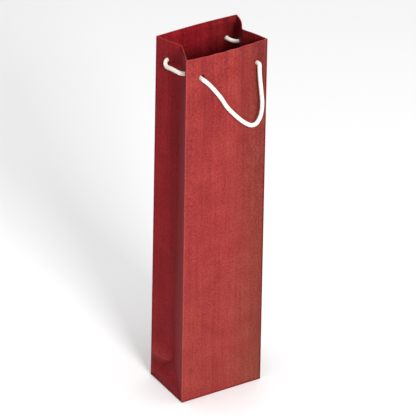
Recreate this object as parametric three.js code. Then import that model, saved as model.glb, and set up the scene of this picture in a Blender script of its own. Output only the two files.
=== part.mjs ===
// A paper gift bag for one bottle of wine. A tall tube of dyed kraft paper has
// pushed-in sides and a folded block bottom, and one white cord is threaded
// round its mouth, so that it hangs as a handle at the front and at the back.
// Millimetres. X runs along the front, Y from front to back and Z up. The
// origin is the middle of the footprint, on the surface that the bag stands on.

import * as THREE from 'three';

// The bag, over its outer faces.
const WIDTH = 90;
const DEPTH = 60;
const HEIGHT = 378;
const GUSSET_INSET = 10; // how far each side crease is pushed in
const APEX_HEIGHT = 30; // where the side crease meets the base triangle

// Sheet thicknesses, and the space left between sheets that lie face to face.
const PAPER = 0.3;
const STRIP = 0.6; // cardboard strip that stiffens the rim
const CARD = 1.2; // loose card on the bottom
const GAP = 0.3;

// The turned-in rim and the sheet's glued joint.
const HEM_HEIGHT = 40;
const STRIP_HEIGHT = 34;
const LAP_WIDTH = 16;

// The bottom flaps and the card on them.
const FLAP_OVERLAP = 20; // front flap over back flap
const SIDE_FLAP_REACH = 26;
const CARD_CLEARANCE = 0.5;

// The cord and the holes punched for it.
const CORD_DIAMETER = 4;
const HOLE_DIAMETER = 5;
const HOLE_DROP = 22; // below the rim
const LEFT_HOLE_INSET = 16; // from the folded edges on the left
const RIGHT_HOLE_INSET = 12; // from the folded edges on the right
const LEFT_SIDE_HOLES = { inset: 16, drop: 21 }; // the punch went askew through the sides
const RIGHT_SIDE_HOLES = { inset: 14, drop: 23 };

// The knot that joins the cord's two ends: one is wound round the other.
const KNOT_WIDTH = 12.4;
const KNOT_HEIGHT = 11.4;
const KNOT_CENTRE = [2.3, 37.6, 293.6];

// The cord's route in five stretches, all round the mouth.
const FRONT_LOOP = [
  [-29, -32.6, 356],
  [-23.5, -32.6, 350.5],
  [-15.5, -32.6, 340.5],
  [-8.5, -32.8, 330.5],
  [-2.5, -33.6, 320],
  [5, -35, 310.5],
  [13, -36.4, 302],
  [19, -37.2, 297.2],
  [23.5, -37.6, 295.2],
  [28, -37.6, 296],
  [32, -37, 300.4],
  [34.6, -36, 307.3],
  [35.6, -35, 315.3],
  [35.3, -33.8, 325],
  [34.3, -32.8, 337],
  [33.4, -32.6, 348],
  [33, -32.6, 356],
];
const LEFT_PASS = [
  [-29, -30.3, 356],
  [-29, -26.5, 356],
  [-29.9, -22.3, 356.1],
  [-32.4, -18.6, 356.3],
  [-36.1, -16.2, 356.5],
  [-39.9, -14.8, 356.6],
  [-41.5, -12.9, 356.6],
  [-42.3, -9.5, 356.3],
  [-42.5, -3, 355.3],
  [-42.5, 4, 354],
  [-42.4, 9, 352.8],
  [-42.3, 11.6, 352.5],
  [-42.1, 13.4, 353.2],
  [-41.9, 14.2, 355],
  [-41.3, 14.4, 356.6],
  [-39.9, 14.8, 357.4],
  [-38, 15.4, 357.5],
  [-35, 16.8, 357.3],
  [-32, 19.2, 357],
  [-29.9, 22.6, 356.6],
  [-29, 26.5, 356.2],
  [-29, 30.3, 356],
];
const RIGHT_PASS = [
  [33, -30.3, 356],
  [33, -27.6, 355.9],
  [33.5, -24.6, 355.7],
  [35, -21.3, 355.4],
  [37.5, -18.5, 355.1],
  [40.6, -16.7, 355],
  [43.4, -15.4, 355],
  [44.9, -12.6, 354.9],
  [45.3, -7.5, 354.7],
  [45.3, 0, 354.5],
  [45.3, 7.5, 354.7],
  [44.9, 12.6, 354.9],
  [43.4, 15.4, 355],
  [40.6, 16.7, 355],
  [37.5, 18.5, 355.1],
  [35, 21.3, 355.4],
  [33.5, 24.6, 355.7],
  [33, 27.6, 355.9],
  [33, 30.3, 356],
];
const BACK_LEFT_LEG = [
  [-29, 32.6, 356],
  [-27, 32.6, 349],
  [-22.8, 32.6, 339.5],
  [-17.2, 33, 330],
  [-11.2, 34.2, 321],
  [-6.2, 35.6, 312.5],
  [-3.2, 36.8, 305],
  [-2.3, 37.4, 299.2],
];
const BACK_RIGHT_LEG = [
  [33, 32.6, 356],
  [31.2, 32.6, 349],
  [26.6, 32.6, 339.5],
  [20.4, 33, 330],
  [13.6, 34.2, 321],
  [7.6, 35.6, 312.5],
  [3.6, 36.9, 305],
  [2.3, 37.6, 300],
];
const LEFT_TAIL = [
  [-2.2, 37.6, 287.4],
  [-3.4, 37.8, 281],
  [-5.8, 38, 275.5],
];
const RIGHT_TAIL = [
  [2.3, 37.6, 287.4],
  [3.6, 37.8, 281],
  [6.6, 38, 274.5],
];
const LOOP_STEPS = 20;
const PASS_STEPS = 24;
const LEG_STEPS = 10;
const TAIL_STEPS = 3;
const CORD_SIDES = 10;
const HOLE_SEGMENTS = 16;
const KNOT_SEGMENTS = [16, 10];

// Sizes that follow from those above.
const halfWidth = WIDTH / 2;
const halfDepth = DEPTH / 2;
const holeHeight = HEIGHT - HOLE_DROP;
const gussetHalf = Math.hypot(GUSSET_INSET, halfDepth);
const gussetTurn = Math.atan2(GUSSET_INSET, halfDepth);
const triangleSlant = Math.hypot(GUSSET_INSET, APEX_HEIGHT);
const triangleLean = Math.atan2(GUSSET_INSET, APEX_HEIGHT);
const hemDepth = PAPER + GAP; // from a gusset's outer face to its hem
const stripDepth = PAPER + GAP;
const wallHemDepth = stripDepth + STRIP + GAP; // the hem lies behind the strip
const gussetStack = hemDepth + PAPER;
const wallStack = wallHemDepth + PAPER;
const insideDepth = halfDepth - PAPER - GAP;
const cardBottom = 3 * (PAPER + GAP);
const cardTop = cardBottom + CARD;

const redPaper = new THREE.MeshStandardMaterial({ color: '#a53b38', roughness: 0.7, metalness: 0 });
const greyBoard = new THREE.MeshStandardMaterial({ color: '#a08a6c', roughness: 0.9, metalness: 0 });
const whiteCord = new THREE.MeshStandardMaterial({ color: '#f5f1e4', roughness: 0.85, metalness: 0 });

const bag = new THREE.Group();

// A flat sheet cut to an outline, with the cord's holes punched through it. Its
// outer face is at z = 0 when depth is 0, and it lies that depth further in.
function sheet(name, material, outline, thickness, depth, holes = []) {
  const corners = outline.map(([x, y]) => new THREE.Vector2(x, y));
  if (THREE.ShapeUtils.isClockWise(corners)) corners.reverse();
  const shape = new THREE.Shape(corners);
  for (const [x, y] of holes) {
    const hole = new THREE.Path();
    hole.absarc(x, y, HOLE_DIAMETER / 2, 0, 2 * Math.PI, true);
    shape.holes.push(hole);
  }
  const geometry = new THREE.ExtrudeGeometry(shape, {
    depth: thickness,
    bevelEnabled: false,
    curveSegments: HOLE_SEGMENTS,
  });
  const mesh = new THREE.Mesh(geometry, material);
  mesh.name = name;
  mesh.position.z = -depth - thickness;
  return mesh;
}

function rectangle(left, bottom, right, top) {
  return [
    [left, bottom],
    [right, bottom],
    [right, top],
    [left, top],
  ];
}

// A standing wall's own axes: x to the right as seen from outside, y up and z
// outward. A turn of 0 faces the front.
function wall(x, y, turn) {
  const group = new THREE.Group();
  group.rotation.order = 'ZYX';
  group.rotation.set(Math.PI / 2, 0, turn);
  group.position.set(x, y, 0);
  bag.add(group);
  return group;
}

// How far along X a sheet at this depth behind a wall reaches before the
// gusset's hem stops it.
function wallReach(depth) {
  return halfWidth - depth * Math.tan(gussetTurn) - gussetStack / Math.cos(gussetTurn) - GAP;
}

// Front and back: the panel, its turned-in hem and the cardboard strip between
// them. Their holes are mirrored, because the back wall faces the other way.
function addBroadWall(side, y, turn, holesAt) {
  const group = wall(0, y, turn);
  const holes = holesAt.map((x) => [x, holeHeight]);
  const reach = wallReach(wallStack);
  const panel = rectangle(-halfWidth, 0, halfWidth, HEIGHT);
  const strip = rectangle(-reach, HEIGHT - GAP - STRIP_HEIGHT, reach, HEIGHT - GAP);
  const hem = rectangle(-reach, HEIGHT - HEM_HEIGHT, reach, HEIGHT);
  group.add(sheet(`${side}_panel`, redPaper, panel, PAPER, 0, holes));
  group.add(sheet(`${side}_stiffener`, greyBoard, strip, STRIP, stripDepth, holes));
  group.add(sheet(`${side}_hem`, redPaper, hem, PAPER, wallHemDepth, holes));
  return group;
}

// The strip along the sheet's edge that is glued inside the back panel.
function addGlueLap(backWall) {
  const reach = wallReach(stripDepth + PAPER);
  const lap = rectangle(-reach, cardTop + GAP, -reach + LAP_WIDTH, HEIGHT - HEM_HEIGHT - GAP);
  backWall.add(sheet('glue_lap', redPaper, lap, PAPER, stripDepth));
}

// A gusset: two halves that meet at the pushed-in crease, each with its hem, and
// the base triangle below them. The sides are the same piece turned about Z.
function addGusset(side, turn, holes, halves) {
  const cornerGap = (PAPER + GAP + gussetStack * Math.sin(gussetTurn)) / Math.cos(gussetTurn);
  const near = GAP / 2 / Math.cos(gussetTurn);
  const far = gussetHalf - cornerGap;
  const bottomAt = (x) => APEX_HEIGHT * (1 - x / gussetHalf);
  const creaseX = Math.cos(turn) * (GUSSET_INSET - halfWidth);
  [1, -1].forEach((way, i) => {
    const group = wall(creaseX, 0, turn - Math.PI / 2 - way * gussetTurn);
    const hole = [[way * (gussetHalf - holes.inset), HEIGHT - holes.drop]];
    const half = [
      [way * near, bottomAt(near)],
      [way * far, bottomAt(far)],
      [way * far, HEIGHT],
      [way * near, HEIGHT],
    ];
    const hem = rectangle(way * near, HEIGHT - HEM_HEIGHT, way * far, HEIGHT);
    group.add(sheet(`${side}_gusset_${halves[i]}`, redPaper, half, PAPER, 0, hole));
    group.add(sheet(`${side}_gusset_${halves[i]}_hem`, redPaper, hem, PAPER, hemDepth, hole));
  });
  addBaseTriangle(side, turn);
}

// The triangle of the side that stays nearly upright above the bottom fold and
// leans in to the end of the crease.
function addBaseTriangle(side, turn) {
  const group = wall(-Math.cos(turn) * halfWidth, 0, turn - Math.PI / 2);
  const outline = [
    [-insideDepth, 0],
    [insideDepth, 0],
    [0, (triangleSlant * insideDepth) / halfDepth],
  ];
  const leaning = new THREE.Group();
  leaning.rotation.x = -triangleLean;
  leaning.position.y = PAPER * Math.sin(triangleLean);
  leaning.add(sheet(`${side}_base_triangle`, redPaper, outline, PAPER, 0));
  group.add(leaning);
}

// The folded bottom, from below: back flap, front flap over it, the two side
// flaps, and the loose card that the bottle stands on.
function addBottom() {
  const reachAt = (height) =>
    halfWidth - height * Math.tan(triangleLean) - PAPER / Math.cos(triangleLean) - CARD_CLEARANCE;
  const layer = (name, material, outline, thickness, bottom) => {
    const mesh = sheet(name, material, outline, thickness, 0);
    mesh.position.z = bottom;
    bag.add(mesh);
  };
  const step = PAPER + GAP;
  const reach = reachAt(cardBottom);
  const lapEdge = FLAP_OVERLAP / 2;
  layer('back_bottom_flap', redPaper, rectangle(-reach, -lapEdge, reach, insideDepth), PAPER, 0);
  layer('front_bottom_flap', redPaper, rectangle(-reach, -insideDepth, reach, lapEdge), PAPER, step);
  for (const [side, way] of [['left', -1], ['right', 1]]) {
    const innerHalf = insideDepth - SIDE_FLAP_REACH;
    const flap = [
      [way * reach, -insideDepth],
      [way * reach, insideDepth],
      [way * (reach - SIDE_FLAP_REACH), innerHalf],
      [way * (reach - SIDE_FLAP_REACH), -innerHalf],
    ];
    layer(`${side}_bottom_flap`, redPaper, flap, PAPER, 2 * step);
  }
  const cardReach = reachAt(cardTop);
  const cardHalf = halfDepth - PAPER - CARD_CLEARANCE;
  layer('base_card', greyBoard, rectangle(-cardReach, -cardHalf, cardReach, cardHalf), CARD, cardBottom);
}

// A round cord along a route.
function addCord(name, route, steps) {
  const section = new THREE.Shape();
  section.absarc(0, 0, CORD_DIAMETER / 2, 0, 2 * Math.PI, false);
  const line = new THREE.CatmullRomCurve3(route.map((point) => new THREE.Vector3(...point)));
  const geometry = new THREE.ExtrudeGeometry(section, {
    steps,
    curveSegments: CORD_SIDES / 2,
    extrudePath: line,
  });
  const mesh = new THREE.Mesh(geometry, whiteCord);
  mesh.name = name;
  bag.add(mesh);
}

// The knot's outer shape, an egg that both ends go into from above and leave
// below as short tails.
function addKnot() {
  const mesh = new THREE.Mesh(new THREE.SphereGeometry(0.5, ...KNOT_SEGMENTS), whiteCord);
  mesh.name = 'cord_knot';
  mesh.scale.set(KNOT_WIDTH, KNOT_HEIGHT, KNOT_WIDTH);
  mesh.rotation.x = Math.PI / 2;
  mesh.position.set(...KNOT_CENTRE);
  bag.add(mesh);
}

const leftHole = -halfWidth + LEFT_HOLE_INSET;
const rightHole = halfWidth - RIGHT_HOLE_INSET;
addBroadWall('front', -halfDepth, 0, [leftHole, rightHole]);
addGlueLap(addBroadWall('back', halfDepth, Math.PI, [-leftHole, -rightHole]));
addGusset('left', 0, LEFT_SIDE_HOLES, ['front', 'rear']);
addGusset('right', Math.PI, RIGHT_SIDE_HOLES, ['rear', 'front']);
addBottom();
addCord('front_handle_cord', FRONT_LOOP, LOOP_STEPS);
addCord('left_cord_pass', LEFT_PASS, PASS_STEPS);
addCord('right_cord_pass', RIGHT_PASS, PASS_STEPS);
addCord('back_handle_cord_left', BACK_LEFT_LEG, LEG_STEPS);
addCord('back_handle_cord_right', BACK_RIGHT_LEG, LEG_STEPS);
addCord('cord_tail_left', LEFT_TAIL, TAIL_STEPS);
addCord('cord_tail_right', RIGHT_TAIL, TAIL_STEPS);
addKnot();

export default bag;
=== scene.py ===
"""A gift bag for one bottle of wine: dyed kraft paper, standing open, with its cord handles hanging down."""

import math

import bmesh
import bpy
from mathutils import Matrix, Vector, noise


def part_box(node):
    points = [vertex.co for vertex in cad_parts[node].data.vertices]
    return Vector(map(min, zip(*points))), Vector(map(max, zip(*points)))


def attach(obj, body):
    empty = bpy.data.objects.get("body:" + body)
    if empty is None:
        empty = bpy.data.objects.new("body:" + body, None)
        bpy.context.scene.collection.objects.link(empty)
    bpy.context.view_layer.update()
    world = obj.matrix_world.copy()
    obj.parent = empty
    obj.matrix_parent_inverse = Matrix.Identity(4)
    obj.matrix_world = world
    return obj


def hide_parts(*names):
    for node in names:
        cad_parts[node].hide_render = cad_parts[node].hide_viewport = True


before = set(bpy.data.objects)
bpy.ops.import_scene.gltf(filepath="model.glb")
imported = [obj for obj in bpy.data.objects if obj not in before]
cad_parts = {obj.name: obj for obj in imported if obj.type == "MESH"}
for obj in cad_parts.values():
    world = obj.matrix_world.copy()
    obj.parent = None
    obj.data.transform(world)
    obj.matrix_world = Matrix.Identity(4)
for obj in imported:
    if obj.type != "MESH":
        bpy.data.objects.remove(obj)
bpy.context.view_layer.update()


# ---------------------------------------------------------------------------
# The cord's route: one white cord goes round the mouth through eight punched
# holes. It hangs as a loop in front and behind, and crosses each pushed-in side.
# ---------------------------------------------------------------------------
CORD_DIAMETER = 0.004
HOLE_HEIGHT = 0.356
LEFT_HOLE = -0.029
RIGHT_HOLE = 0.033

FRONT_LOOP = (
    (-0.0290, -0.0326, 0.3560),
    (-0.0235, -0.0326, 0.3505),
    (-0.0155, -0.0326, 0.3405),
    (-0.0085, -0.0328, 0.3305),
    (-0.0025, -0.0336, 0.3200),
    (0.0050, -0.0350, 0.3105),
    (0.0130, -0.0364, 0.3020),
    (0.0190, -0.0372, 0.2972),
    (0.0235, -0.0376, 0.2952),
    (0.0280, -0.0376, 0.2960),
    (0.0320, -0.0370, 0.3004),
    (0.0346, -0.0360, 0.3073),
    (0.0356, -0.0350, 0.3153),
    (0.0353, -0.0338, 0.3250),
    (0.0343, -0.0328, 0.3370),
    (0.0334, -0.0326, 0.3480),
    (0.0330, -0.0326, 0.3560),
)
LEFT_PASS = (
    (-0.0290, -0.0326, 0.3560),
    (-0.0290, -0.0303, 0.3560),
    (-0.0290, -0.0265, 0.3560),
    (-0.0299, -0.0223, 0.3561),
    (-0.0324, -0.0186, 0.3563),
    (-0.0361, -0.0162, 0.3565),
    (-0.0399, -0.0148, 0.3566),
    (-0.0415, -0.0129, 0.3566),
    (-0.0423, -0.0095, 0.3563),
    (-0.0425, -0.0030, 0.3553),
    (-0.0425, 0.0040, 0.3540),
    (-0.0424, 0.0090, 0.3528),
    (-0.0423, 0.0116, 0.3525),
    (-0.0421, 0.0134, 0.3532),
    (-0.0419, 0.0142, 0.3550),
    (-0.0413, 0.0144, 0.3566),
    (-0.0399, 0.0148, 0.3574),
    (-0.0380, 0.0154, 0.3575),
    (-0.0350, 0.0168, 0.3573),
    (-0.0320, 0.0192, 0.3570),
    (-0.0299, 0.0226, 0.3566),
    (-0.0290, 0.0265, 0.3562),
    (-0.0290, 0.0303, 0.3560),
    (-0.0290, 0.0326, 0.3560),
)
RIGHT_PASS = (
    (0.0330, -0.0326, 0.3560),
    (0.0330, -0.0303, 0.3560),
    (0.0330, -0.0276, 0.3559),
    (0.0335, -0.0246, 0.3557),
    (0.0350, -0.0213, 0.3554),
    (0.0375, -0.0185, 0.3551),
    (0.0406, -0.0167, 0.3550),
    (0.0434, -0.0154, 0.3550),
    (0.0449, -0.0126, 0.3549),
    (0.0453, -0.0075, 0.3547),
    (0.0453, 0.0000, 0.3545),
    (0.0453, 0.0075, 0.3547),
    (0.0449, 0.0126, 0.3549),
    (0.0434, 0.0154, 0.3550),
    (0.0406, 0.0167, 0.3550),
    (0.0375, 0.0185, 0.3551),
    (0.0350, 0.0213, 0.3554),
    (0.0335, 0.0246, 0.3557),
    (0.0330, 0.0276, 0.3559),
    (0.0330, 0.0303, 0.3560),
    (0.0330, 0.0326, 0.3560),
)
BACK_LEFT_LEG = (
    (-0.0290, 0.0326, 0.3560),
    (-0.0270, 0.0326, 0.3490),
    (-0.0228, 0.0326, 0.3395),
    (-0.0172, 0.0330, 0.3300),
    (-0.0112, 0.0342, 0.3210),
    (-0.0062, 0.0356, 0.3125),
    (-0.0032, 0.0368, 0.3050),
    (-0.0021, 0.0374, 0.2995),
)
BACK_RIGHT_LEG = (
    (0.0330, 0.0326, 0.3560),
    (0.0312, 0.0326, 0.3490),
    (0.0266, 0.0326, 0.3395),
    (0.0204, 0.0330, 0.3300),
    (0.0136, 0.0342, 0.3210),
    (0.0076, 0.0356, 0.3125),
    (0.0036, 0.0369, 0.3050),
    (0.0023, 0.0376, 0.3000),
)
LEFT_TAIL = (
    (-0.0022, 0.0376, 0.2874),
    (-0.0034, 0.0378, 0.2810),
    (-0.0058, 0.0380, 0.2755),
)
RIGHT_TAIL = (
    (0.0023, 0.0376, 0.2874),
    (0.0036, 0.0378, 0.2810),
    (0.0066, 0.0380, 0.2745),
)
KNOT_AXIS = Vector((0.0023, 0.0376))
KNOT_TOP = 0.2978
KNOT_TURNS = 2
KNOT_PITCH = 0.0042
KNOT_POINTS_PER_TURN = 12


def knot_winding():
    """The left end's turns round the right end, from the top down."""
    count = KNOT_TURNS * KNOT_POINTS_PER_TURN
    points = []
    for i in range(count + 1):
        turned = i / KNOT_POINTS_PER_TURN
        angle = math.pi + 2 * math.pi * turned
        across = KNOT_AXIS + Vector((math.cos(angle), math.sin(angle))) * (CORD_DIAMETER * 1.06)
        points.append((across.x, across.y, KNOT_TOP - KNOT_PITCH * turned))
    return tuple(points)


def smooth_route(points, spacing=0.0004):
    """A smooth line through the points, at an even spacing along its length."""
    knots = [Vector(p) for p in points]
    knots = [2 * knots[0] - knots[1]] + knots + [2 * knots[-1] - knots[-2]]
    dense = []
    for a, b, c, d in zip(knots, knots[1:], knots[2:], knots[3:]):
        t1 = math.sqrt((b - a).length)
        t2 = t1 + math.sqrt((c - b).length)
        t3 = t2 + math.sqrt((d - c).length)
        for step in range(16):
            t = t1 + (t2 - t1) * step / 16
            ab = a.lerp(b, t / t1)
            bc = b.lerp(c, (t - t1) / (t2 - t1))
            cd = c.lerp(d, (t - t2) / (t3 - t2))
            abc = ab.lerp(bc, t / t2)
            bcd = bc.lerp(cd, (t - t1) / (t3 - t1))
            dense.append(abc.lerp(bcd, (t - t1) / (t2 - t1)))
    dense.append(knots[-2])
    lengths = [0.0]
    for p, q in zip(dense, dense[1:]):
        lengths.append(lengths[-1] + (q - p).length)
    count = max(2, round(lengths[-1] / spacing))
    line, i = [], 0
    for step in range(count + 1):
        wanted = lengths[-1] * step / count
        while i < len(dense) - 2 and lengths[i + 1] < wanted:
            i += 1
        share = (wanted - lengths[i]) / (lengths[i + 1] - lengths[i])
        line.append(dense[i].lerp(dense[i + 1], share))
    return line, lengths[-1]


# ---------------------------------------------------------------------------
# The cord itself: a soft tubular braid of white cotton, eight strands each way
# round a filled core. Its ends were sealed before they were knotted.
# ---------------------------------------------------------------------------
STRANDS = 8
BRAID_REPEAT = 0.0017  # along the cord
BRAID_RELIEF = 0.00010
CORD_SIDES = 36
BALL_RINGS = 7
CUT_END_REACH = 0.25  # how far a cut end is rounded, as a share of a ball end


def braid_relief(angle, along):
    """How far the crossing strands stand out of the cord's mean surface."""
    right = STRANDS * angle + 2 * math.pi * along / BRAID_REPEAT
    left = STRANDS * angle - 2 * math.pi * along / BRAID_REPEAT
    over = 0.25 * math.cos(right / 2 + left / 2) * math.cos(right / 2 - left / 2)
    return max(abs(math.cos(right / 2)) + over, abs(math.cos(left / 2)) - over) - 0.85


def cord_mesh(name, points, end="ball"):
    """A braided cord along a route. A ball end turns on the line through the holes; a cut end is sealed."""
    line, length = smooth_route(points)
    last = len(line) - 1
    tangents = [(line[min(i + 1, last)] - line[max(i - 1, 0)]).normalized() for i in range(last + 1)]
    level_start = abs(tangents[0].z) < 0.9
    side = tangents[0].cross(Vector((0.0, 0.0, 1.0)) if level_start else Vector((1.0, 0.0, 0.0)))
    rings = []
    spacing = length / (len(line) - 1)
    for i, (centre, tangent) in enumerate(zip(line, tangents)):
        side = (side - tangent * side.dot(tangent)).normalized()
        rings.append((centre, tangent, side.copy(), 1.0, i * spacing))

    def cap(kind, ring, way):
        centre, tangent, across, _, along = ring
        reach = 1.0 if kind == "ball" else CUT_END_REACH
        made = []
        for k in range(1, BALL_RINGS):
            swing = math.pi / 2 * k / BALL_RINGS
            out = math.sin(swing) * reach * CORD_DIAMETER / 2
            made.append((centre + tangent * way * out, tangent, across, math.cos(swing), along + way * out))
        tip = centre + tangent * way * reach * CORD_DIAMETER / 2
        return made, tip

    before, first_tip = cap("ball", rings[0], -1)
    after, last_tip = cap(end, rings[-1], 1)
    rings = before[::-1] + rings + after
    vertices, faces = [], []
    for centre, tangent, across, size, along in rings:
        up = tangent.cross(across)
        for k in range(CORD_SIDES):
            angle = 2 * math.pi * k / CORD_SIDES
            radius = (CORD_DIAMETER / 2 + BRAID_RELIEF * braid_relief(angle, along)) * size
            vertices.append(centre + (across * math.cos(angle) + up * math.sin(angle)) * radius)
    for r in range(len(rings) - 1):
        for k in range(CORD_SIDES):
            k2 = (k + 1) % CORD_SIDES
            a, b = r * CORD_SIDES, (r + 1) * CORD_SIDES
            faces.append((a + k, a + k2, b + k2, b + k))
    for tip, base, flip in ((first_tip, 0, True), (last_tip, (len(rings) - 1) * CORD_SIDES, False)):
        vertices.append(tip)
        for k in range(CORD_SIDES):
            k2 = (k + 1) % CORD_SIDES
            rim = (base + k2, base + k) if flip else (base + k, base + k2)
            faces.append((*rim, len(vertices) - 1))
    mesh = bpy.data.meshes.new(name)
    mesh.from_pydata(vertices, [], faces)
    mesh.shade_smooth()
    piece = bpy.data.objects.new(name, mesh)
    bpy.context.scene.collection.objects.link(piece)
    return piece, [tuple(p) for p in line], length


def add_node(tree, kind, place, **values):
    """A shader node, with its plain properties and its inputs' values set by name."""
    node = tree.nodes.new(kind)
    node.location = place
    for key, value in values.items():
        if key in node.inputs:
            node.inputs[key].default_value = value
        else:
            setattr(node, key, value)
    return node


def new_material(name):
    """A material with only its output and a Principled shader, wired together."""
    material = bpy.data.materials.new(name)
    material.use_nodes = True
    tree = material.node_tree
    tree.nodes.clear()
    shader = add_node(tree, "ShaderNodeBsdfPrincipled", (300, 0))
    output = add_node(tree, "ShaderNodeOutputMaterial", (600, 0))
    tree.links.new(shader.outputs["BSDF"], output.inputs["Surface"])
    return material, tree, shader


def white_cotton():
    """Soft white yarn: matt, a little uneven in tone, with fine fibres."""
    material, tree, shader = new_material("white_cotton_cord")
    place = add_node(tree, "ShaderNodeTexCoord", (-900, 0))
    fibres = add_node(tree, "ShaderNodeTexNoise", (-700, 100), Scale=2600.0, Detail=4.0, Roughness=0.6)
    tone = add_node(tree, "ShaderNodeTexNoise", (-700, -200), Scale=180.0, Detail=2.0)
    colours = add_node(tree, "ShaderNodeValToRGB", (-400, -200))
    colours.color_ramp.elements[0].position = 0.3
    colours.color_ramp.elements[0].color = (0.82, 0.79, 0.70, 1)
    colours.color_ramp.elements[1].position = 0.7
    colours.color_ramp.elements[1].color = (0.92, 0.90, 0.81, 1)
    bump = add_node(tree, "ShaderNodeBump", (0, -300), Strength=0.35, Distance=0.00012)
    link = tree.links.new
    link(place.outputs["Object"], fibres.inputs["Vector"])
    link(place.outputs["Object"], tone.inputs["Vector"])
    link(tone.outputs["Fac"], colours.inputs["Fac"])
    link(colours.outputs["Color"], shader.inputs["Base Color"])
    link(fibres.outputs["Fac"], bump.inputs["Height"])
    link(bump.outputs["Normal"], shader.inputs["Normal"])
    shader.inputs["Roughness"].default_value = 0.85
    shader.inputs["Specular IOR Level"].default_value = 0.25
    shader.inputs["Subsurface Weight"].default_value = 0.35
    shader.inputs["Subsurface Radius"].default_value = (1.0, 0.9, 0.8)
    shader.inputs["Subsurface Scale"].default_value = 0.0012
    shader.inputs["Sheen Weight"].default_value = 0.25
    shader.inputs["Sheen Roughness"].default_value = 0.5
    return material


cotton = white_cotton()


def finish_cord(piece, body, nodes):
    """The cord's material and body, and the CAD nodes that this stretch of it stands for."""
    piece.data.materials.append(cotton)
    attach(piece, body)
    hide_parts(*nodes)


def add_cord(name, body, points, nodes, end="ball"):
    """One stretch of the cord along its route."""
    piece, line, length = cord_mesh(name, points, end)
    finish_cord(piece, body, nodes)


add_cord(
    "front_handle", "front_handle", FRONT_LOOP, ["front_handle_cord"]
)
add_cord(
    "left_cord_across_side", "bag", LEFT_PASS, ["left_cord_pass"]
)
add_cord(
    "right_cord_across_side", "bag", RIGHT_PASS, ["right_cord_pass"]
)
knot, _, _ = cord_mesh("back_handle_knot", BACK_LEFT_LEG[-1:] + knot_winding()[1:-1] + LEFT_TAIL, end="cut")
finish_cord(knot, "back_handle", ["cord_knot", "cord_tail_left"])
add_cord(
    "back_handle_left_end",
    "back_handle",
    BACK_LEFT_LEG,
    ["back_handle_cord_left"],
)
add_cord(
    "back_handle_right_end",
    "back_handle",
    BACK_RIGHT_LEG + RIGHT_TAIL,
    ["back_handle_cord_right", "cord_tail_right"],
    end="cut",
)


# ---------------------------------------------------------------------------
# The paper sheet: one piece of dyed kraft, machine-creased into two broad walls
# and two pushed-in sides. Its top 40 mm is turned in to make the rim.
# ---------------------------------------------------------------------------
front_low, front_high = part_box("front_panel")
front_hem_low, front_hem_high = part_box("front_hem")
HALF_WIDTH = front_high.x
HALF_DEPTH = -front_low.y
RIM = front_high.z
PAPER = front_high.y - front_low.y
HEM_END = front_hem_low.z
HEM_BEHIND_BROAD = front_hem_high.y - front_low.y  # the hem's inner face, with the strip before it
HEM_BEHIND_SIDE = 0.0009
RIM_FOLD = 0.0004  # radius of the turn at the rim
HEM_SPREAD = 0.005  # below the rim, where the hem parts round the strip

MOUTH_CLOSING = 0.0019  # each broad wall leans in by this at the rim
MOUTH_NARROWING = 0.0004
APEX = 0.030  # where the side creases end above the foot
CREASE_AT_FOOT = 0.0084  # how far the side creases are pushed in
CREASE_AT_RIM = {"left": 0.0113, "right": 0.0108}
CREASE_FLAT = 0.0007  # half the width of the side crease's soft bottom
FACET_OUT = 0.0024  # the left side's rear bottom crease is pressed out by this
FACET_HEIGHT = 0.0100
FOLD_RADIUS = 0.0006
CREASE_RADIUS = 0.0040
FOLD_STEPS = 5
# Below 0 a fold is painted shade: the front right and rear left folds and the left side's creases. Above 0
# it is paler: partly wear, partly painted highlight.
FOLD_WEAR_AND_LIGHT = (1.0, -1.0, 0.55, 0.55, 0.6, -0.8, -0.3, -0.3)  # from the front left fold; below 0 is darker
# Painted shade along the foot and under its curl.
FOOT_PAINTED_SHADE = -0.9
FRONT_RIGHT_FOLD = 1  # places in FOLD_WEAR_AND_LIGHT
REAR_LEFT_FOLD = 5
SHARP_TURN = 1.2  # radians: the four outer folds turn by more than this, the soft creases by less
RIM_STEPS = 6
FOOT_CURL = ((0.0011, 0.0), (0.0005, 0.0001), (0.00015, 0.0004))  # inset and height, under each wall
FOOT_HEIGHTS = [0.0012, 0.0022, 0.0036, 0.0055, 0.008]
RIM_HEIGHTS = [RIM - 0.0018, RIM - 0.0009]
SLANT_PLACE = (0.0147, 0.0354)  # the front's slanting ridge: its middle, from the left fold and the foot
SLANT_WAY = (0.66, 0.75)  # it runs up and inward
SLANT_HALF_LENGTH = 0.022
SLANT_HALF_WIDTH = 0.006

WALLS = (
    "front",
    "right_front",
    "right_middle",
    "right_rear",
    "back",
    "left_rear",
    "left_middle",
    "left_front",
)
HOLE_RADIUS = 0.00255
HOLE_PULLED = Vector((0.0007, 0, 0.0007))  # the handle has pulled its left-hand hole wide, up and inward
HOLE_MARGIN = 0.0045  # the mesh is finer this far round a hole
PUNCH_REACH = 0.006  # a hole is opened this far either side of its own wall
HOLE_ROWS = (0.3545, 0.3585)
STORAGE_CREASE = 0.0285  # where the bag was folded up flat for storage
SIDE_HOLES = {"left": Vector((-0.0399, 0.0148, 0.357)), "right": Vector((0.0406, 0.0167, 0.355))}
SIDE_HOLE_FROM_FOLD = {"left": 0.0146, "right": 0.0125}
SIDE_TURN_X = 0.949  # a pushed-in side half faces this way: outward, and forward or back
SIDE_TURN_Y = 0.316
GUSSET_HALF = 0.0302
HOLES_ALONG = {
    "front": (HALF_WIDTH + LEFT_HOLE, HALF_WIDTH + RIGHT_HOLE),
    "back": (HALF_WIDTH - RIGHT_HOLE, HALF_WIDTH - LEFT_HOLE),
    "right_front": (SIDE_HOLE_FROM_FOLD["right"],),
    "right_rear": (GUSSET_HALF - SIDE_HOLE_FROM_FOLD["right"],),
    "left_rear": (SIDE_HOLE_FROM_FOLD["left"],),
    "left_front": (GUSSET_HALF - SIDE_HOLE_FROM_FOLD["left"],),
}


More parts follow.
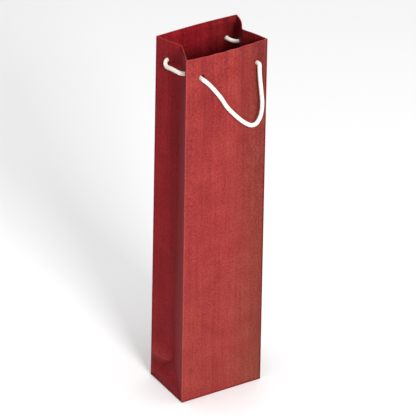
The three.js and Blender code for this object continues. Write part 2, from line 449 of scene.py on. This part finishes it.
def stations(start, end, step, fine_spots, fine_step=0.00105):
    """Distances from start to end, closer together round the fine spots."""
    places, at = [start], start
    while at < end - 1e-6:
        near = any(abs(at + fine_step / 2 - spot) < HOLE_MARGIN for spot in fine_spots)
        at = min(end, at + (fine_step if near else step))
        places.append(at)
    if len(places) > 2 and places[-1] - places[-2] < fine_step / 2:
        places.pop(-2)
    return places


def wall_shares(wall):
    """Where the upright mesh lines of a wall stand, as shares of its width."""
    if wall.endswith("middle"):
        return [0.04, 0.09, 0.15, 0.22, 0.31, 0.42, 0.55, 0.7, 0.86]  # closer at the rear end's pocket
    width = 2 * HALF_WIDTH if wall in ("front", "back") else GUSSET_HALF
    inner = stations(0.0016, width - 0.0016, 0.0024, HOLES_ALONG[wall])
    return [place / width for place in [0.0007] + inner + [width - 0.0007]]


SHARES = {wall: wall_shares(wall) for wall in WALLS}


def bump_shape(x):
    """A smooth hump, 1 at x = 0 and 0 beyond x = 1 either way."""
    return math.cos(min(abs(x), 1.0) * math.pi / 2) ** 2


def outline(z):
    """The bag's eight corners at one height, anticlockwise from the front left fold.

    Below the apex each side has a flat middle, the base triangle. Above it the middle is the crease.
    """
    up = z / RIM
    half_w = HALF_WIDTH - MOUTH_NARROWING * up
    half_d = HALF_DEPTH - MOUTH_CLOSING * up
    crease = max(half_d * (1 - z / APEX), CREASE_FLAT)
    pushed = {}
    for side, at_rim in CREASE_AT_RIM.items():
        pushed[side] = (CREASE_AT_FOOT + (at_rim - CREASE_AT_FOOT) * up) * (1 - crease / half_d)
    fold_out = FACET_OUT * bump_shape((z - FACET_HEIGHT) / 0.0075)
    return [
        Vector(corner)
        for corner in (
            (-half_w, -half_d),
            (half_w, -half_d),
            (half_w - pushed["right"], -crease),
            (half_w - pushed["right"], crease),
            (half_w, half_d),
            (-half_w, half_d),
            (-half_w + pushed["left"] - fold_out, crease),
            (-half_w + pushed["left"], -crease),
        )
    ]


def moved_in(corners, broad, side):
    """The outline with each wall moved inward: the broad walls and the sides by their own amounts."""
    count = len(corners)
    normals, depths = [], []
    for i, wall in enumerate(WALLS):
        along = (corners[(i + 1) % count] - corners[i]).normalized()
        normals.append(Vector((along.y, -along.x)))
        depths.append(broad if wall in ("front", "back") else side)
    moved = []
    for i, corner in enumerate(corners):
        n1, n2 = normals[i - 1], normals[i]
        d1, d2 = depths[i - 1], depths[i]
        cross = n1.x * n2.y - n1.y * n2.x
        shift = Vector((d2 * n1.y - d1 * n2.y, d1 * n2.x - d2 * n1.x)) / cross
        moved.append(corner + shift)
    return moved


def bulge(wall, share, z):
    """How far the paper stands out of its flat wall, from filling, handling and storage folds."""
    below = RIM - z
    arch = math.sin(math.pi * share)
    out = 0.0
    if wall == "front":
        out += 0.0025 * math.sin(math.pi * share**0.8) * (z / RIM) ** 2.2
        ripple = math.sin(2 * math.pi * (5.2 * share + 0.25 * math.sin(below * 34)))
        out += 0.00042 * ripple * arch * math.exp(-below / 0.06)
        out += 0.0005 * arch * bump_shape((z - 0.15) / 0.13)
        across = 0.090 * share - SLANT_PLACE[0]
        up = z - SLANT_PLACE[1]
        off_line = SLANT_WAY[1] * across - SLANT_WAY[0] * up
        along = SLANT_WAY[0] * across + SLANT_WAY[1] * up
        out += 0.00045 * bump_shape(off_line / SLANT_HALF_WIDTH) * bump_shape(along / SLANT_HALF_LENGTH)
    elif wall == "back":
        out += 0.0014 * arch * (z / RIM) ** 1.5
        out += 0.0007 * arch * math.exp(-abs(z - STORAGE_CREASE) / 0.008)
    elif wall == "right_rear":
        out += 0.0019 * arch * math.exp(-below / 0.05) + 0.0005 * arch * bump_shape((z - 0.2) / 0.12)
    elif wall == "right_front":
        out += 0.0006 * arch * math.exp(-below / 0.06)
    elif wall == "left_rear":
        out += 0.0005 * arch * math.exp(-below / 0.08)
        fade = 0.008 if z > STORAGE_CREASE else 0.013
        out += 0.0031 * arch**0.6 * math.exp(-abs(z - STORAGE_CREASE) / fade)
        out -= 0.0010 * bump_shape((z - 0.0185) / 0.006) * bump_shape((share - 0.6) / 0.4)
    elif wall == "left_middle":
        out -= 0.0012 * bump_shape((z - 0.0070) / 0.0036) * bump_shape((share - 0.12) / 0.24)
    elif wall == "left_front":
        out -= 0.0011 * arch * bump_shape((z - SIDE_HOLES["left"].z) / 0.03)
    return out


def crinkle(x, y, z):
    """Slight unevenness that paper keeps from being made, rolled and folded."""
    broad = noise.noise(Vector((x * 26, y * 26, z * 9)))
    fine = noise.noise(Vector((x * 90 + 7, y * 90, z * 34)))
    return 0.00028 * broad + 0.00007 * fine


def storage_crease_wear_and_light(wall, z):
    """Paler along the crease from flat storage, across the back and the rear halves of the sides: partly
    wear, partly painted highlight.

    On the left side a band above that crease is a painted highlight, and the pocket under it is painted
    shade.
    """
    above = z - STORAGE_CREASE
    creased = wall in ("back", "left_rear", "right_rear")
    line = 0.6 * bump_shape(above / 0.0011) if creased else 0.0
    if wall != "left_rear":
        return line
    if above > 0:
        return max(line, 0.30 * bump_shape(above / 0.016))
    return line - 0.55 * bump_shape((above + 0.009) / 0.008)


def level_line(z, broad=0.0, side=0.0):
    """One level row of points right round the bag: place and a value that is 1 on a fold's crown; above 0 it
    is paler, partly wear and partly painted highlight, and below 0 it is painted shade.
    """
    corners = moved_in(outline(z), broad, side)
    count = len(corners)
    row = []
    alongs = [(corners[(i + 1) % count] - corners[i]) for i in range(count)]
    cuts = []
    for i in range(count):
        turn = alongs[i - 1].angle(alongs[i], 0.0)
        radius = FOLD_RADIUS if turn > SHARP_TURN else CREASE_RADIUS
        shortest = min(alongs[i - 1].length, alongs[i].length)
        cuts.append(min(radius * math.tan(turn / 2), 0.42 * shortest))
    for i, wall in enumerate(WALLS):
        ahead, behind = alongs[i].normalized(), alongs[i - 1].normalized()
        outward = Vector((ahead.y, -ahead.x))
        corner = corners[i]
        for k in range(FOLD_STEPS + 1):
            t = k / FOLD_STEPS
            first = corner - behind * cuts[i] * (1 - t)
            second = corner + ahead * cuts[i] * t
            place = first.lerp(second, t)
            # Fold crowns: painted shade where the value is below 0, paler where it is above 0, partly wear
            # and partly painted highlight.
            row.append((Vector((*place, z)), FOLD_WEAR_AND_LIGHT[i] * (1 - abs(2 * t - 1) ** 2 * 0.6)))
        begin = corner + ahead * cuts[i]
        finish = corners[(i + 1) % count] - ahead * cuts[(i + 1) % count]
        for share in SHARES[wall]:
            flat = begin.lerp(finish, share)
            out = bulge(wall, share, z)
            if not wall.endswith("middle"):
                loose = 1.0 if wall in ("front", "back") else 1.9
                out += loose * crinkle(flat.x, flat.y, z) * min(1.0, 8 * share, 8 * (1 - share))
            edge = storage_crease_wear_and_light(wall, z)
            # Painted shade also covers the wall's last point beside the front right fold and its first point
            # beside the rear left fold.
            if wall == "front" and share == SHARES[wall][-1]:
                edge = FOLD_WEAR_AND_LIGHT[FRONT_RIGHT_FOLD]
            elif wall == "left_rear" and share == SHARES[wall][0]:
                edge = FOLD_WEAR_AND_LIGHT[REAR_LEFT_FOLD]
            row.append((Vector((*(flat + outward * out), z)), edge))
    return row


def sheet_heights():
    """Heights of the walls' level mesh lines, closer round the holes and the bottom fold."""
    middle = stations(0.0105, RIM - 0.003, 0.0026, HOLE_ROWS + (STORAGE_CREASE,))
    return FOOT_HEIGHTS + middle + RIM_HEIGHTS


def bag_rows():
    """The sheet's rows from its foot up the outside, over the rim and down the inside."""
    rows = []
    foot = sheet_heights()[0]
    # The foot rows carry painted shade.
    for inset, z in FOOT_CURL:
        curled = level_line(foot, inset, inset)
        rows.append([(Vector((p.x, p.y, z)), FOOT_PAINTED_SHADE) for p, wear_and_painted_light in curled])
    rows.append([(p, FOOT_PAINTED_SHADE) for p, wear_and_painted_light in level_line(foot)])
    for z in sheet_heights()[1:]:
        rows.append(level_line(z))
    for k in range(RIM_STEPS + 1):
        swing = math.pi * k / RIM_STEPS
        inset = RIM_FOLD * (1 - math.cos(swing))
        row = level_line(RIM - RIM_FOLD + RIM_FOLD * math.sin(swing), inset, inset)
        # The rim's crown is paler: partly wear, partly painted highlight.
        rows.append([(p, 0.9 * math.sin(swing)) for p, wear_and_painted_light in row])
    hem_rows = [z for z in sheet_heights() if HEM_END < z < RIM - RIM_FOLD - 0.0005][::-1]
    for z in hem_rows + [HEM_END]:
        spread = min(1.0, (RIM - RIM_FOLD - z) / HEM_SPREAD)
        spread = spread * spread * (3 - 2 * spread)
        broad = 2 * RIM_FOLD + (HEM_BEHIND_BROAD - 2 * RIM_FOLD) * spread
        side = 2 * RIM_FOLD + (HEM_BEHIND_SIDE - 2 * RIM_FOLD) * spread
        rows.append([(p, 0.3 * wear_and_painted_light) for p, wear_and_painted_light in level_line(z, broad, side)])
    return rows


def mesh_from_rows(name, rows, closed):
    """A mesh over rows of points, with each point's value of wear and painted light kept as an attribute."""
    width = len(rows[0])
    vertices = [p for row in rows for p, wear_and_painted_light in row]
    faces = []
    for r in range(len(rows) - 1):
        for c in range(width if closed else width - 1):
            c2 = (c + 1) % width
            a, b = r * width, (r + 1) * width
            faces.append((a + c, a + c2, b + c2, b + c))
    mesh = bpy.data.meshes.new(name)
    mesh.from_pydata(vertices, [], faces)
    wear_and_painted_light = mesh.attributes.new("wear_and_painted_light", "FLOAT", "POINT")
    wear_and_painted_light.data.foreach_set("value", [w for row in rows for p, w in row])
    piece = bpy.data.objects.new(name, mesh)
    bpy.context.scene.collection.objects.link(piece)
    return piece


def hole_axes():
    """A point, a level direction and a radius for each hole, where the cord goes through the paper."""
    axes = []
    for x in (LEFT_HOLE, RIGHT_HOLE):
        for y in (-HALF_DEPTH, HALF_DEPTH):
            pulled = HOLE_PULLED if x == LEFT_HOLE and y < 0 else Vector((0, 0, 0))
            radius = HOLE_RADIUS + pulled.length / 2
            axes.append((Vector((x, y, HOLE_HEIGHT)) + pulled, Vector((0.0, 1.0, 0.0)), radius))
    for hole in SIDE_HOLES.values():
        for way in (-1, 1):
            outward = math.copysign(SIDE_TURN_X, hole.x)
            place = Vector((hole.x, way * hole.y, hole.z))
            axes.append((place, Vector((outward, -way * SIDE_TURN_Y, 0.0)), HOLE_RADIUS))
    return axes


def punch(piece):
    """Opens the cord's holes in a sheet and rounds the mesh's edge to each hole's circle."""
    work = bmesh.new()
    work.from_mesh(piece.data)
    for place, way, radius in hole_axes():
        def radial(point):
            offset = point - place
            return offset - way * offset.dot(way)

        gone = []
        for face in work.faces:
            centre = face.calc_center_median()
            if abs((centre - place).dot(way)) < PUNCH_REACH and radial(centre).length < radius:
                gone.append(face)
        bmesh.ops.delete(work, geom=gone, context="FACES")
        for vertex in work.verts:
            if vertex.is_boundary and (vertex.co - place).length < 3 * radius:
                spoke = radial(vertex.co)
                vertex.co += spoke * (radius / spoke.length - 1)
    work.to_mesh(piece.data)
    work.free()


def thicken(piece, thickness, offset=-1.0, sharp=50):
    """Gives a sheet its thickness and keeps its cut edges crisp."""
    solid = piece.modifiers.new("thickness", "SOLIDIFY")
    solid.thickness = thickness
    solid.offset = offset
    solid.use_even_offset = False
    bpy.context.view_layer.update()
    shown = piece.evaluated_get(bpy.context.evaluated_depsgraph_get())
    mesh = bpy.data.meshes.new_from_object(shown)
    piece.modifiers.clear()
    piece.data = mesh
    mesh.shade_smooth()
    mesh.set_sharp_from_angle(angle=math.radians(sharp))


def grain_group():
    """Paper's make-up, shared by the red sheet and the board: upright fibre streaks, clouds and flecks."""
    tree = bpy.data.node_groups.new("paper_grain", "ShaderNodeTree")
    for name in ("Streaks", "Bands", "Clouds", "Flecks"):
        tree.interface.new_socket(name, in_out="OUTPUT", socket_type="NodeSocketFloat")
    streak_scale = tree.interface.new_socket("Streak Scale", in_out="INPUT", socket_type="NodeSocketFloat")
    streak_scale.default_value = 1.0
    given = add_node(tree, "NodeGroupInput", (-1000, 200))
    out = add_node(tree, "NodeGroupOutput", (400, 0))
    place = add_node(tree, "ShaderNodeTexCoord", (-1000, 0))
    drawn = add_node(tree, "ShaderNodeMapping", (-750, 0))
    drawn.inputs["Scale"].default_value = (330.0, 330.0, 11.0)
    streaks = add_node(tree, "ShaderNodeTexNoise", (-450, 200), Scale=1.0, Detail=5.0, Roughness=0.65)
    bands = add_node(tree, "ShaderNodeTexNoise", (-450, 500), Scale=0.26, Detail=3.0, Roughness=0.55)
    clouds = add_node(tree, "ShaderNodeTexNoise", (-450, -100), Scale=38.0, Detail=6.0, Roughness=0.68)
    flecks = add_node(tree, "ShaderNodeTexNoise", (-450, -400), Scale=640.0, Detail=4.0, Roughness=0.75)
    link = tree.links.new
    link(place.outputs["Object"], drawn.inputs["Vector"])
    link(drawn.outputs["Vector"], streaks.inputs["Vector"])
    link(drawn.outputs["Vector"], bands.inputs["Vector"])
    link(given.outputs["Streak Scale"], streaks.inputs["Scale"])
    link(place.outputs["Object"], clouds.inputs["Vector"])
    link(place.outputs["Object"], flecks.inputs["Vector"])
    link(streaks.outputs["Fac"], out.inputs["Streaks"])
    link(bands.outputs["Fac"], out.inputs["Bands"])
    link(clouds.outputs["Fac"], out.inputs["Clouds"])
    link(flecks.outputs["Fac"], out.inputs["Flecks"])
    return tree


paper_grain = grain_group()


def ramp(tree, place, *stops):
    """A colour ramp with these (position, colour) stops."""
    node = add_node(tree, "ShaderNodeValToRGB", place)
    elements = node.color_ramp.elements
    while len(elements) < len(stops):
        elements.new(0.5)
    for element, (position, colour) in zip(elements, stops):
        element.position = position
        element.color = (*colour, 1)
    return node


def mixed(tree, place, kind, factor, first, second):
    """Two colours mixed. Each of factor, first and second is a socket or a plain value."""
    node = add_node(tree, "ShaderNodeMix", place, data_type="RGBA", blend_type=kind)
    for name, value in (("Factor", factor), ("A", first), ("B", second)):
        socket = next(s for s in node.inputs if s.name == name and (s.type == "RGBA") == (name != "Factor"))
        if isinstance(value, bpy.types.NodeSocket):
            tree.links.new(value, socket)
        else:
            socket.default_value = value if name == "Factor" else (*value, 1)
    return next(s for s in node.outputs if s.type == "RGBA")


def red_kraft():
    """Kraft dyed dark red: streaky, banded near the rim and mottled, and paler on fold crowns, partly where
    folding broke it and partly as painted highlight.

    Every face but the front's outer one is painted a deeper, darker crimson, which is painted shade, and
    painted shade also darkens two outer folds, the foot and the left side's creases.
    """
    material, tree, shader = new_material("dyed_kraft_paper")
    grain = add_node(tree, "ShaderNodeGroup", (-900, 0), node_tree=paper_grain)
    wear_and_painted_light = add_node(tree, "ShaderNodeAttribute", (-900, -400), attribute_name="wear_and_painted_light")
    dye = ramp(
        tree,
        (-650, 200),
        (0.32, (0.272, 0.025, 0.0255)),
        (0.52, (0.306, 0.033, 0.0310)),
        (0.70, (0.340, 0.041, 0.0365)),
    )
    streaked = ramp(
        tree,
        (-650, -50),
        (0.30, (0.88, 0.84, 0.86)),
        (0.52, (1.0, 1.0, 1.0)),
        (0.75, (1.09, 1.14, 1.10)),
    )
    flecked = ramp(
        tree,
        (-650, -250),
        (0.30, (0.62, 0.52, 0.56)),
        (0.5, (1.0, 1.0, 1.0)),
        (0.70, (1.30, 1.6, 1.5)),
    )
    banded = ramp(
        tree,
        (-650, -450),
        (0.36, (0.80, 0.66, 0.78)),
        (0.5, (1.0, 1.0, 1.0)),
        (0.62, (1.08, 1.16, 1.08)),
    )
    link = tree.links.new
    link(grain.outputs["Clouds"], dye.inputs["Fac"])
    link(grain.outputs["Streaks"], streaked.inputs["Fac"])
    link(grain.outputs["Flecks"], flecked.inputs["Fac"])
    link(grain.outputs["Bands"], banded.inputs["Fac"])
    colour = mixed(tree, (-300, 200), "MULTIPLY", 1.0, dye.outputs["Color"], streaked.outputs["Color"])
    colour = mixed(tree, (-100, 200), "MULTIPLY", 1.0, colour, flecked.outputs["Color"])
    # browner to the right, with a ragged edge, and banded near the rim
    place = add_node(tree, "ShaderNodeTexCoord", (-900, 600))
    across = add_node(tree, "ShaderNodeSeparateXYZ", (-700, 600))
    patchy = add_node(tree, "ShaderNodeMath", (-500, 600), operation="MULTIPLY_ADD")
    patchy.inputs[1].default_value = 0.030
    near_rim = add_node(tree, "ShaderNodeMapRange", (-500, 400), interpolation_type="SMOOTHSTEP")
    near_rim.inputs["From Min"].default_value = 0.20
    near_rim.inputs["From Max"].default_value = 0.36
    near_rim.inputs["To Min"].default_value = 0.3
    link(across.outputs["Z"], near_rim.inputs["Value"])
    banding = near_rim.outputs["Result"]
    colour = mixed(tree, (-100, 400), "MULTIPLY", banding, colour, banded.outputs["Color"])
    browned = add_node(tree, "ShaderNodeMapRange", (-300, 600), interpolation_type="SMOOTHSTEP")
    browned.inputs["From Min"].default_value = 0.012
    browned.inputs["From Max"].default_value = 0.060
    link(place.outputs["Object"], across.inputs["Vector"])
    link(grain.outputs["Clouds"], patchy.inputs[0])
    link(across.outputs["X"], patchy.inputs[2])
    link(patchy.outputs["Value"], browned.inputs["Value"])
    colour = mixed(tree, (0, 400), "MULTIPLY", browned.outputs["Result"], colour, (0.72, 1.04, 0.86))
    # paler near the foot
    near_foot = add_node(tree, "ShaderNodeMapRange", (-300, 450), interpolation_type="SMOOTHSTEP")
    near_foot.inputs["From Min"].default_value = 0.20
    near_foot.inputs["From Max"].default_value = 0.02
    link(across.outputs["Z"], near_foot.inputs["Value"])
    colour = mixed(tree, (0, 450), "MULTIPLY", near_foot.outputs["Result"], colour, (1.0, 1.20, 1.10))
    # painted shade: every face but the front's outer one is painted a deeper, darker crimson
    facing = add_node(tree, "ShaderNodeSeparateXYZ", (-700, 800))
    forward = add_node(tree, "ShaderNodeMath", (-500, 800), operation="MULTIPLY_ADD")
    forward.inputs[1].default_value = 20.0
    painted_shade_off_front = add_node(tree, "ShaderNodeMapRange", (-300, 800), interpolation_type="SMOOTHSTEP")
    painted_shade_off_front.inputs["From Min"].default_value = -1.45
    painted_shade_off_front.inputs["From Max"].default_value = -1.15
    link(place.outputs["Normal"], facing.inputs["Vector"])
    link(across.outputs["Y"], forward.inputs[0])
    link(facing.outputs["Y"], forward.inputs[2])
    link(forward.outputs["Value"], painted_shade_off_front.inputs["Value"])
    colour = mixed(tree, (0, 600), "MULTIPLY", painted_shade_off_front.outputs["Result"], colour, (0.84, 0.34, 0.52))
    # painted shade on folds, the foot and a pocket, where the value is below 0, and paler fold crowns, where
    # it is above: partly wear, partly painted highlight
    painted_fold_shade = add_node(tree, "ShaderNodeMapRange", (-300, 1000))
    painted_fold_shade.inputs["From Min"].default_value = 0.0
    painted_fold_shade.inputs["From Max"].default_value = -1.0
    link(wear_and_painted_light.outputs["Fac"], painted_fold_shade.inputs["Value"])
    colour = mixed(tree, (0, 800), "MULTIPLY", painted_fold_shade.outputs["Result"], colour, (0.60, 0.22, 0.24))
    # Paler, in patches, where the value is above 0: partly wear, partly painted highlight.
    pale_wear_and_highlight = add_node(tree, "ShaderNodeMath", (-500, -450), operation="MULTIPLY")
    link(wear_and_painted_light.outputs["Fac"], pale_wear_and_highlight.inputs[0])
    patchy_pale = add_node(tree, "ShaderNodeMapRange", (-700, -600))
    link(grain.outputs["Flecks"], patchy_pale.inputs["Value"])
    patchy_pale.inputs["From Min"].default_value = 0.35
    patchy_pale.inputs["From Max"].default_value = 0.65
    patchy_pale.inputs["To Min"].default_value = 0.25
    patchy_pale.inputs["To Max"].default_value = 0.75
    link(patchy_pale.outputs["Result"], pale_wear_and_highlight.inputs[1])
    colour = mixed(tree, (100, 200), "MIX", pale_wear_and_highlight.outputs["Value"], colour, (0.56, 0.10, 0.09))
    link(colour, shader.inputs["Base Color"])
    # sheen and surface
    rough = add_node(tree, "ShaderNodeMapRange", (-300, -100))
    rough.inputs["To Min"].default_value = 0.46
    rough.inputs["To Max"].default_value = 0.66
    link(grain.outputs["Clouds"], rough.inputs["Value"])
    link(rough.outputs["Result"], shader.inputs["Roughness"])
    height = add_node(tree, "ShaderNodeMath", (-300, -300), operation="MULTIPLY_ADD")
    link(grain.outputs["Streaks"], height.inputs[0])
    height.inputs[1].default_value = 1.6
    link(grain.outputs["Flecks"], height.inputs[2])
    bump = add_node(tree, "ShaderNodeBump", (0, -300), Strength=0.30, Distance=0.00008)
    link(height.outputs["Value"], bump.inputs["Height"])
    link(bump.outputs["Normal"], shader.inputs["Normal"])
    shader.inputs["Specular IOR Level"].default_value = 0.07
    return material


red_paper = red_kraft()


def add_paper(piece, nodes):
    """Finishes a paper piece: material, body and the CAD nodes that it stands for."""
    piece.data.materials.clear()
    piece.data.materials.append(red_paper)
    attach(piece, "bag")
    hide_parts(*nodes)


sheet = mesh_from_rows("paper_sheet", bag_rows(), closed=True)
punch(sheet)
thicken(sheet, PAPER)
sides = [f"{side}_gusset_{half}" for side in ("left", "right") for half in ("front", "rear")]
add_paper(
    sheet,
    ["front_panel", "back_panel", "front_hem", "back_hem", "left_base_triangle", "right_base_triangle"]
    + sides
    + [f"{half}_hem" for half in sides],
)


# ---------------------------------------------------------------------------
# The glued joint: the sheet's other edge, 16 mm wide, pasted inside the back
# wall beside the rear right fold. It stops under the hem.
# ---------------------------------------------------------------------------
lap_low, lap_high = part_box("glue_lap")
LAP_BEHIND = HALF_DEPTH - lap_high.y


def wall_patch(name, wall, inset, bottom, top, across, step=0.0026):
    """A sheet that lies inside one wall and follows its shape, across given shares of the wall."""
    index = WALLS.index(wall)
    first = index * (FOLD_STEPS + 1) + sum(len(SHARES[w]) for w in WALLS[:index]) + FOLD_STEPS + 1
    chosen = [first + i for i, share in enumerate(SHARES[wall]) if across[0] <= share <= across[1]]
    rows = []
    for z in stations(bottom, top, step, HOLE_ROWS):
        row = level_line(z, inset, inset)
        rows.append([(row[c][0], 0.0) for c in chosen])
    return mesh_from_rows(name, rows, closed=False)


lap_share = (lap_high.x - lap_low.x) / (2 * HALF_WIDTH)
lap = wall_patch("glue_lap_strip", "back", LAP_BEHIND, lap_low.z, lap_high.z, (0.0, lap_share))
thicken(lap, PAPER * 0.8)
add_paper(lap, ["glue_lap"])


# ---------------------------------------------------------------------------
# The folded bottom: the sheet's lower end, folded in under itself. The side
# flaps go in first, then the front flap, then the back flap is pasted over it.
# ---------------------------------------------------------------------------
FLAP_ROWS = 24
FLAP_COLUMNS = 32


def bottom_flap(name, node, inward, narrowing, lift):
    """A flap across the bottom. It lies at lift where it is free and dips to the ground at its fold."""
    low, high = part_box(node)
    centre = (low + high) / 2
    size = high - low
    deep, wide = (size.y, size.x) if inward.x == 0 else (size.x, size.y)
    across = Vector((-inward.y, inward.x, 0))
    fold = centre - inward * deep / 2
    rows = []
    for k in range(FLAP_ROWS + 1):
        s = k / FLAP_ROWS
        rise = lift * (0.0 if lift == 0 else min(1.0, s * 4) ** 1.5)
        half = (wide / 2) * (1 - narrowing * s)
        row = []
        for m in range(FLAP_COLUMNS + 1):
            t = 2 * m / FLAP_COLUMNS - 1
            point = fold + inward * deep * s - across * half * t
            wave = 0.00006 * noise.noise(Vector((point.x * 60, point.y * 60, lift * 900)))
            # The fold row is paler: partly wear, partly painted highlight.
            row.append((Vector((point.x, point.y, rise + max(0.0, wave))), 0.7 if k == 0 else 0.0))
        rows.append(row)
    flap = mesh_from_rows(name, rows, closed=False)
    thicken(flap, PAPER * 0.9)
    add_paper(flap, [node])


bottom_flap("back_bottom_fold", "back_bottom_flap", Vector((0, -1, 0)), 0.0, 0.0)
bottom_flap("front_bottom_fold", "front_bottom_flap", Vector((0, 1, 0)), 0.0, 0.0006)
bottom_flap("left_bottom_fold", "left_bottom_flap", Vector((1, 0, 0)), 0.88, 0.0012)
bottom_flap("right_bottom_fold", "right_bottom_flap", Vector((-1, 0, 0)), 0.88, 0.0012)


# ---------------------------------------------------------------------------
# The cardboard: two strips glued between the walls and their hems, which keep
# the rim straight and the cord from tearing out, and a loose card on the bottom.
# ---------------------------------------------------------------------------
STRIP_BELOW_RIM = 0.006
CARD_ROWS = 16
CARD_COLUMNS = 24
CARD_BOW = 0.0004  # the card's middle stands this much above its long edges


def grey_board():
    """Recycled greyboard: dull, speckled and slightly rough."""
    material, tree, shader = new_material("recycled_greyboard")
    grain = add_node(tree, "ShaderNodeGroup", (-900, 0), node_tree=paper_grain)
    grain.inputs["Streak Scale"].default_value = 0.5
    pulp = ramp(tree, (-600, 200), (0.3, (0.30, 0.24, 0.17)), (0.7, (0.42, 0.35, 0.26)))
    specks = ramp(tree, (-600, -50), (0.28, (0.55, 0.52, 0.5)), (0.45, (1.0, 1.0, 1.0)))
    tree.links.new(grain.outputs["Clouds"], pulp.inputs["Fac"])
    tree.links.new(grain.outputs["Flecks"], specks.inputs["Fac"])
    colour = mixed(tree, (-200, 100), "MULTIPLY", 1.0, pulp.outputs["Color"], specks.outputs["Color"])
    tree.links.new(colour, shader.inputs["Base Color"])
    bump = add_node(tree, "ShaderNodeBump", (0, -300), Strength=0.5, Distance=0.0001)
    tree.links.new(grain.outputs["Flecks"], bump.inputs["Height"])
    tree.links.new(bump.outputs["Normal"], shader.inputs["Normal"])
    shader.inputs["Roughness"].default_value = 0.9
    shader.inputs["Specular IOR Level"].default_value = 0.3
    return material


board = grey_board()


def add_board(piece, nodes):
    """Finishes a cardboard piece."""
    piece.data.materials.clear()
    piece.data.materials.append(board)
    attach(piece, "bag")
    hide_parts(*nodes)


for wall in ("front", "back"):
    strip_low, strip_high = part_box(f"{wall}_stiffener")
    behind = HALF_DEPTH - max(abs(strip_low.y), abs(strip_high.y))
    strip = wall_patch(f"{wall}_rim_strip", wall, behind, strip_low.z, RIM - STRIP_BELOW_RIM, (0.03, 0.97))
    punch(strip)
    thicken(strip, strip_high.y - strip_low.y)
    add_board(strip, [f"{wall}_stiffener"])


def base_card():
    """The loose card: cut a little small, with softened corners, and bowed up slightly along its middle."""
    low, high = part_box("base_card")
    rows = []
    for j in range(CARD_ROWS + 1):
        v = 2 * j / CARD_ROWS - 1
        row = []
        for i in range(CARD_COLUMNS + 1):
            u = 2 * i / CARD_COLUMNS - 1
            clip = 1 - 0.03 * max(0.0, abs(u) - 0.9) * 10 * max(0.0, abs(v) - 0.9) * 10
            bow = CARD_BOW * (1 - u * u)
            place = Vector((u * high.x * clip, v * high.y * clip, high.z - CARD_BOW + bow))
            row.append((place, 0.0))
        rows.append(row)
    card = mesh_from_rows("base_card_board", rows, closed=False)
    thicken(card, high.z - low.z - CARD_BOW)
    edge = card.modifiers.new("soft_edges", "BEVEL")
    edge.width = 0.0002
    edge.segments = 2
    edge.limit_method = "ANGLE"
    add_board(card, ["base_card"])


base_card()


# ---------------------------------------------------------------------------
# The studio: a pale floor, two soft lights above and in front, an even white
# surround, and a camera with a long lens. None of it belongs to the part.
# ---------------------------------------------------------------------------
FLOOR_GAP = 0.0002  # keeps the floor clear of the foot
VIEW_AZIMUTH = math.radians(31.49)
VIEW_ELEVATION = math.radians(30.45)
VIEW_ROLL = math.radians(1.09)
VIEW_DISTANCE = 4.423
VIEW_LENS = 398.4  # mm, on a 36 mm sensor
VIEW_CENTRE = Vector((0, 0, 0.19))
VIEW_ASIDE = Vector((-0.0006, 0.0015))  # how far the camera stands to its own right, and up


def pale_floor():
    """A large matt floor under the bag."""
    mesh = bpy.data.meshes.new("floor")
    reach = 6.0
    corners = [(-reach, -reach, 0), (reach, -reach, 0), (reach, reach, 0), (-reach, reach, 0)]
    mesh.from_pydata(corners, [], [(0, 1, 2, 3)])
    floor = bpy.data.objects.new("floor", mesh)
    bpy.context.scene.collection.objects.link(floor)
    floor.location.z = -FLOOR_GAP
    material, _, shader = new_material("pale_floor")
    shader.inputs["Base Color"].default_value = (0.93, 0.93, 0.93, 1)
    shader.inputs["Roughness"].default_value = 0.9
    shader.inputs["Specular IOR Level"].default_value = 0.1
    mesh.materials.append(material)


def soft_light(name, place, size, watts):
    """A square softbox that faces the middle of the bag."""
    data = bpy.data.lights.new(name, "AREA")
    data.shape = "SQUARE"
    data.size = size
    data.energy = watts
    lamp = bpy.data.objects.new(name, data)
    bpy.context.scene.collection.objects.link(lamp)
    lamp.location = place
    lamp.rotation_euler = (Vector((0, 0, RIM / 2)) - Vector(place)).to_track_quat("-Z", "Y").to_euler()


def studio_camera():
    """A long lens, high in front of the bag and to its left."""
    away = Vector(
        (
            -math.sin(VIEW_AZIMUTH) * math.cos(VIEW_ELEVATION),
            -math.cos(VIEW_AZIMUTH) * math.cos(VIEW_ELEVATION),
            math.sin(VIEW_ELEVATION),
        )
    )
    data = bpy.data.cameras.new("studio_camera")
    data.sensor_width = 36.0
    data.lens = VIEW_LENS
    data.clip_start = 0.1
    data.clip_end = 50.0
    camera = bpy.data.objects.new("studio_camera", data)
    bpy.context.scene.collection.objects.link(camera)
    facing = away.to_track_quat("Z", "Y").to_matrix()
    right, up = facing.col[0], facing.col[1]
    centre = VIEW_CENTRE + right * VIEW_ASIDE.x + up * VIEW_ASIDE.y
    turned = facing @ Matrix.Rotation(VIEW_ROLL, 3, "Z")
    camera.matrix_world = Matrix.Translation(centre + away * VIEW_DISTANCE) @ turned.to_4x4()
    bpy.context.scene.camera = camera


pale_floor()
soft_light("key", (-0.28, -2.1, 1.30), 0.7, 45.0)
soft_light("overhead", (0.0, 0.0, 3.2), 2.6, 84.0)
world = bpy.data.worlds.new("studio")
world.use_nodes = True
world.node_tree.nodes["Background"].inputs["Color"].default_value = (1.0, 1.0, 1.0, 1)
world.node_tree.nodes["Background"].inputs["Strength"].default_value = 0.17
bpy.context.scene.world = world
bpy.context.scene.view_settings.view_transform = "Standard"
studio_camera()
